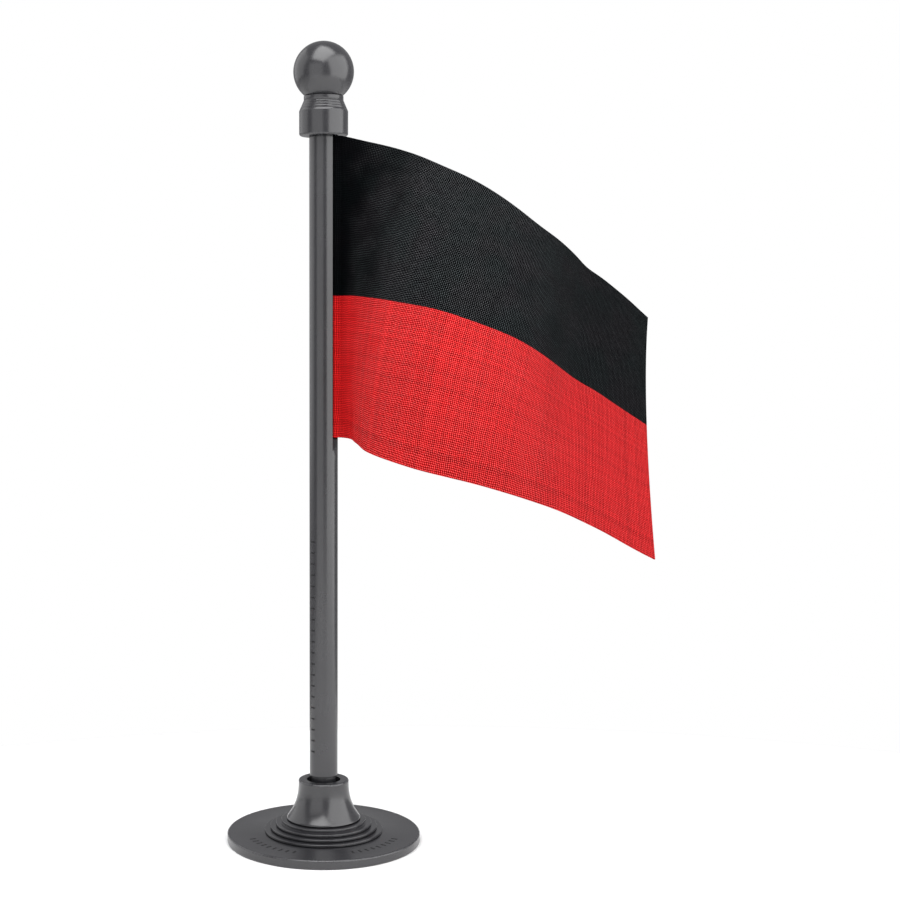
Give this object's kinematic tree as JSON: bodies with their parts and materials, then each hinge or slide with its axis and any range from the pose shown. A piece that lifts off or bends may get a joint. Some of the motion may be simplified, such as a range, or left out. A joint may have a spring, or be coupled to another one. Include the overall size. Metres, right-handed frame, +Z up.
{
  "type": "desk flag stand",
  "caption": "Miniature desk flag stand: a round stepped foot with a flared socket, a slotted pole with a ball finial, and a cloth flag in two plain bands.",
  "frame": {"origin": "on the pole's axis, at the flat underside of the foot", "axes": "+Z up the pole towards the finial, +X towards the side that the flag flies to, -Y towards the side that its face is seen from"},
  "size_m": [0.0743, 0.0466, 0.1371],
  "materials": {
    "moulding": "dark grey semi-gloss moulding, smooth, with soft reflections",
    "pad": "matt black non-slip pad",
    "cloth": "plain-weave flag cloth, printed black over red, matt with a faint sheen"
  },
  "bodies": {
    "base": {"base_disc": "moulding", "base_pad": "pad"},
    "socket": {"socket": "moulding"},
    "pole": {"pole": "moulding"},
    "finial": {"finial_collar": "moulding", "finial_ball": "moulding"},
    "flag": {"flag_cloth": "cloth"}
  },
  "joints": [
    {"name": "socket_swivel", "type": "hinge", "parent": "base", "child": "socket", "pos_m": [0, 0, 0.00385], "axis": [0, 0, 1], "continuous": true},
    {"name": "pole_lift", "type": "slide", "parent": "socket", "child": "pole", "axis": [0, 0, 1], "range_m": [0, 0.012]},
    {"name": "finial_lift", "type": "slide", "parent": "pole", "child": "finial", "axis": [0, 0, 1], "range_m": [0, 0.06]},
    {"name": "flag_slide", "type": "slide", "parent": "pole", "child": "flag", "axis": [0, 0, 1], "range_m": [0, 0.056]}
  ],
  "couplings": [
    {"joint": "flag_slide", "follows": "finial_lift", "ratio": 0.92}
  ]
}
